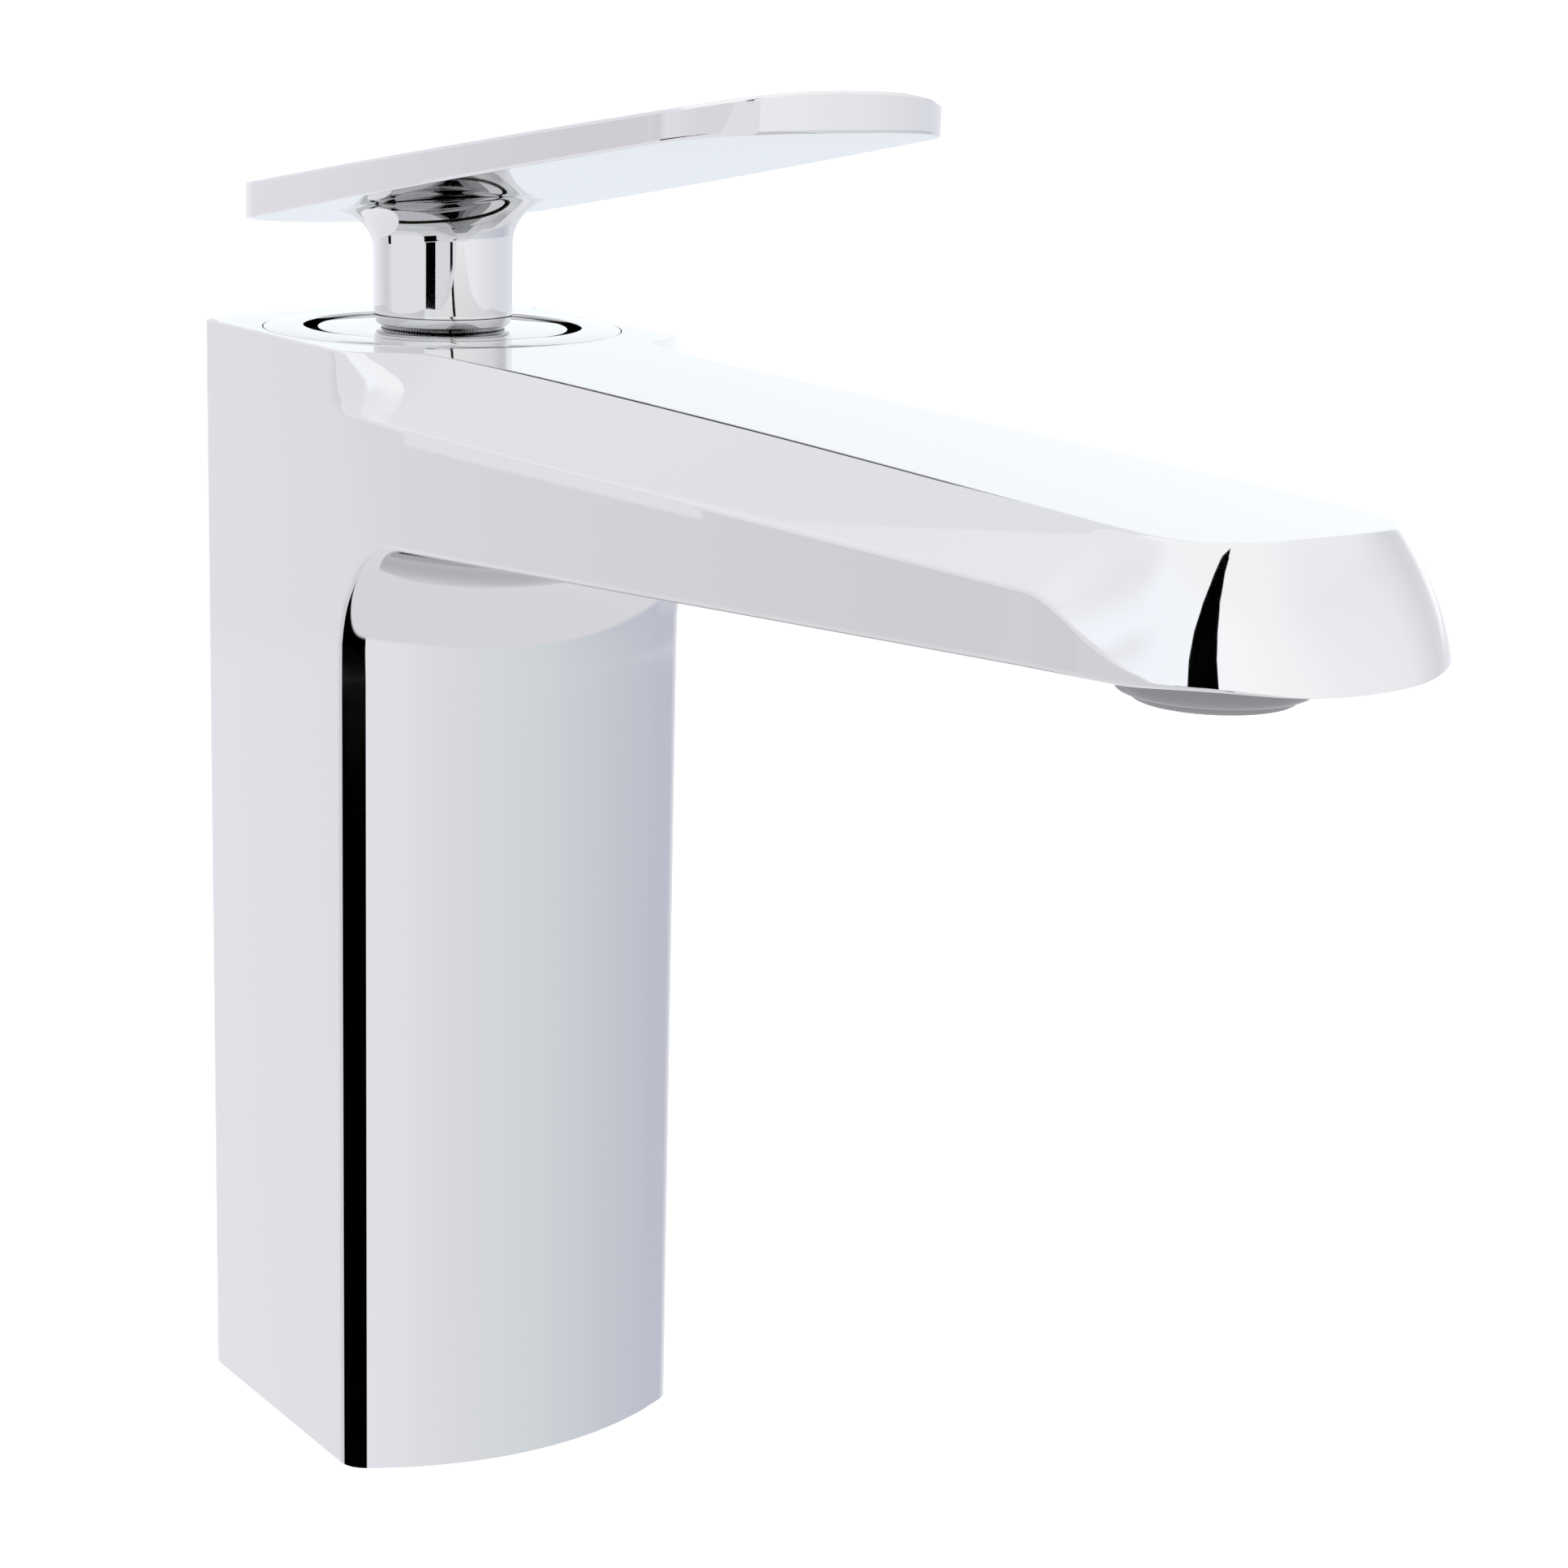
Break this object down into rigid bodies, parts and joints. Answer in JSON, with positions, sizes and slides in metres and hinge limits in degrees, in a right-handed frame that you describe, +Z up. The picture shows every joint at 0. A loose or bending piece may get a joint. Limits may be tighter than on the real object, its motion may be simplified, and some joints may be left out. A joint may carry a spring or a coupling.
{
  "type": "single-lever basin mixer faucet",
  "caption": "Single-lever bathroom basin mixer: rectangular column with bowed front and back, long faceted spout, flat blade lever on a round stem.",
  "frame": {"origin": "centre of the base, on the deck surface, under the cartridge's axis", "axes": "+Z up along the column, spout along -Y, +X to the right of someone facing the front of the spout from -Y"},
  "size_m": [0.046, 0.1952, 0.1705],
  "materials": {
    "chrome": "polished chrome plate on brass",
    "brass": "machined",
    "steel": "machined stainless",
    "white_plastic": "moulded acetal",
    "grey_plastic": "moulded, fine texture",
    "ceramic": null,
    "rubber": "moulded"
  },
  "bodies": {
    "body": {"body_casting": "chrome", "trim_ring": "chrome", "base_gasket": "rubber", "cartridge_housing": "white_plastic", "housing_o_ring": "rubber", "rotor_glide_ring": "white_plastic", "cartridge_base": "grey_plastic", "inlet_seal_left": "rubber", "inlet_seal_right": "rubber", "fixed_ceramic_disc": "ceramic", "cartridge_nut": "brass", "aerator_housing": "grey_plastic", "aerator_honeycomb": "grey_plastic", "flow_regulator": "white_plastic", "aerator_gasket": "rubber"},
    "turret": {"cartridge_rotor": "white_plastic", "spindle_pin": "steel", "temperature_stop_ring": "grey_plastic"},
    "lever": {"lever_handle": "chrome", "lever_grub_screw": "steel", "index_plug": "grey_plastic", "cap_disc": "chrome", "spindle": "steel"},
    "carriage": {"disc_carrier": "grey_plastic", "moving_ceramic_disc": "ceramic"}
  },
  "joints": [
    {"name": "temperature", "type": "hinge", "parent": "body", "child": "turret", "pos_m": [0, 0, 0.1297], "axis": [0, 0, 1], "range_deg": [-50, 50]},
    {"name": "flow_tilt", "type": "hinge", "parent": "turret", "child": "lever", "pos_m": [0, 0, 0.1297], "axis": [-1, 0, 0], "range_deg": [0, 20]},
    {"name": "disc_slide", "type": "slide", "parent": "turret", "child": "carriage", "axis": [0, -1, 0], "range_m": [0, 0.0049]}
  ],
  "couplings": [
    {"joint": "disc_slide", "follows": "flow_tilt", "m_per_rad": 0.014}
  ]
}
